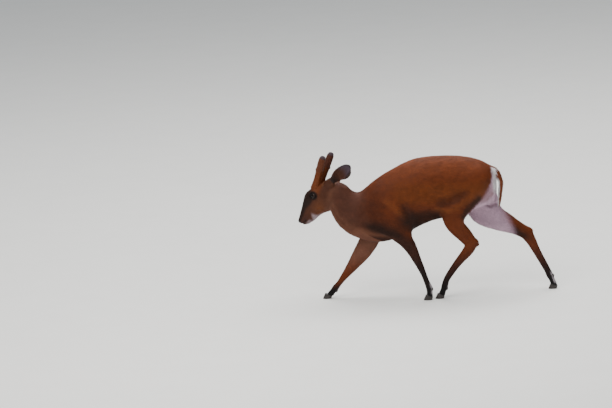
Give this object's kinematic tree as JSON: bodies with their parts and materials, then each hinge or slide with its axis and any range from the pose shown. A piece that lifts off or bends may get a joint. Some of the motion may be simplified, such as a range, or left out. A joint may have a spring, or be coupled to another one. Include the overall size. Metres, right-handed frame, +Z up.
{
  "type": "muntjac",
  "caption": "Life-size still model of a muntjac buck walking with its head low, with short antlers in velvet, cupped ears and cloven hooves.",
  "frame": {"origin": "centre of the bounding box in plan, on the ground under the hooves", "axes": "+X from the nose towards the tail, +Z up, so the animal's left flank faces -Y"},
  "size_m": [1.103, 0.2649, 0.6397],
  "materials": {
    "coat": "short dense chestnut hair, satin",
    "leg_coat": "very short dark brown hair, satin",
    "tail_coat": "chestnut hair above, white below",
    "velvet": "fine velvet skin",
    "ear_skin": "thin skin with sparse hair",
    "eye": "wet gloss",
    "horn": "dull black hoof horn"
  },
  "bodies": {
    "root": {"head": "coat", "neck": "coat", "torso": "coat", "tail": "tail_coat", "fore_left_forearm": "coat", "fore_left_cannon": "leg_coat", "fore_left_pastern": "leg_coat", "fore_left_hoof_inner": "horn", "fore_left_dewclaw_inner": "horn", "fore_left_hoof_outer": "horn", "fore_left_dewclaw_outer": "horn", "fore_right_forearm": "coat", "fore_right_cannon": "leg_coat", "fore_right_pastern": "leg_coat", "fore_right_hoof_inner": "horn", "fore_right_dewclaw_inner": "horn", "fore_right_hoof_outer": "horn", "fore_right_dewclaw_outer": "horn", "hind_left_gaskin": "coat", "hind_left_cannon": "leg_coat", "hind_left_pastern": "leg_coat", "hind_left_hoof_inner": "horn", "hind_left_dewclaw_inner": "horn", "hind_left_hoof_outer": "horn", "hind_left_dewclaw_outer": "horn", "hind_right_gaskin": "coat", "hind_right_cannon": "leg_coat", "hind_right_pastern": "leg_coat", "hind_right_hoof_inner": "horn", "hind_right_dewclaw_inner": "horn", "hind_right_hoof_outer": "horn", "hind_right_dewclaw_outer": "horn", "pedicle_left": "coat", "antler_left": "velvet", "ear_left": "ear_skin", "eye_left": "eye", "pedicle_right": "coat", "antler_right": "velvet", "ear_right": "ear_skin", "eye_right": "eye"}
  },
  "joints": []
}
